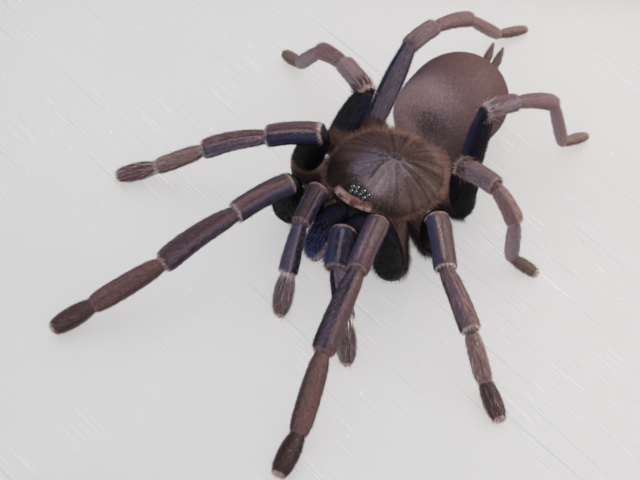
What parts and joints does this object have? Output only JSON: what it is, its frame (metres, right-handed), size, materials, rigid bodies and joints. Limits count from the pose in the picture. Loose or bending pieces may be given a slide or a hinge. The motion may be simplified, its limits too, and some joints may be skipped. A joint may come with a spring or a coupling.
{
  "type": "framed tarantula specimen",
  "caption": "Dried tarantula posed with arched legs on a white backing board inside a plain mitred wooden frame, for display lying flat or stood up.",
  "frame": {"origin": "middle of the frame's back, on the surface that it lies on", "axes": "+Z out of the frame's front; +X to the right and +Y to the top of the frame, seen from the front"},
  "size_m": [0.16, 0.16, 0.0257],
  "materials": {
    "frame_wood": "dark stained, satin",
    "white_board": "white, finely scratched",
    "carapace": "dry chitin with short golden-brown hair",
    "velvet": "velvety mauve-brown hair",
    "leg": "dry chitin with brown hair, blue sheen and pale stripes",
    "jaw": "dark blue velvety hair"
  },
  "bodies": {
    "root": {"backing_board": "white_board", "frame_rail_front": "frame_wood", "frame_rail_back": "frame_wood", "frame_rail_left": "frame_wood", "frame_rail_right": "frame_wood", "cephalothorax": "carapace", "abdomen": "velvet", "chelicera_left": "jaw", "chelicera_right": "jaw", "palp_left": "leg", "palp_right": "leg", "leg_1_left": "leg", "leg_2_left": "leg", "leg_3_left": "leg", "leg_4_left": "leg", "leg_1_right": "leg", "leg_2_right": "leg", "leg_3_right": "leg", "leg_4_right": "leg", "spinneret_left": "velvet", "spinneret_right": "velvet"}
  },
  "joints": []
}
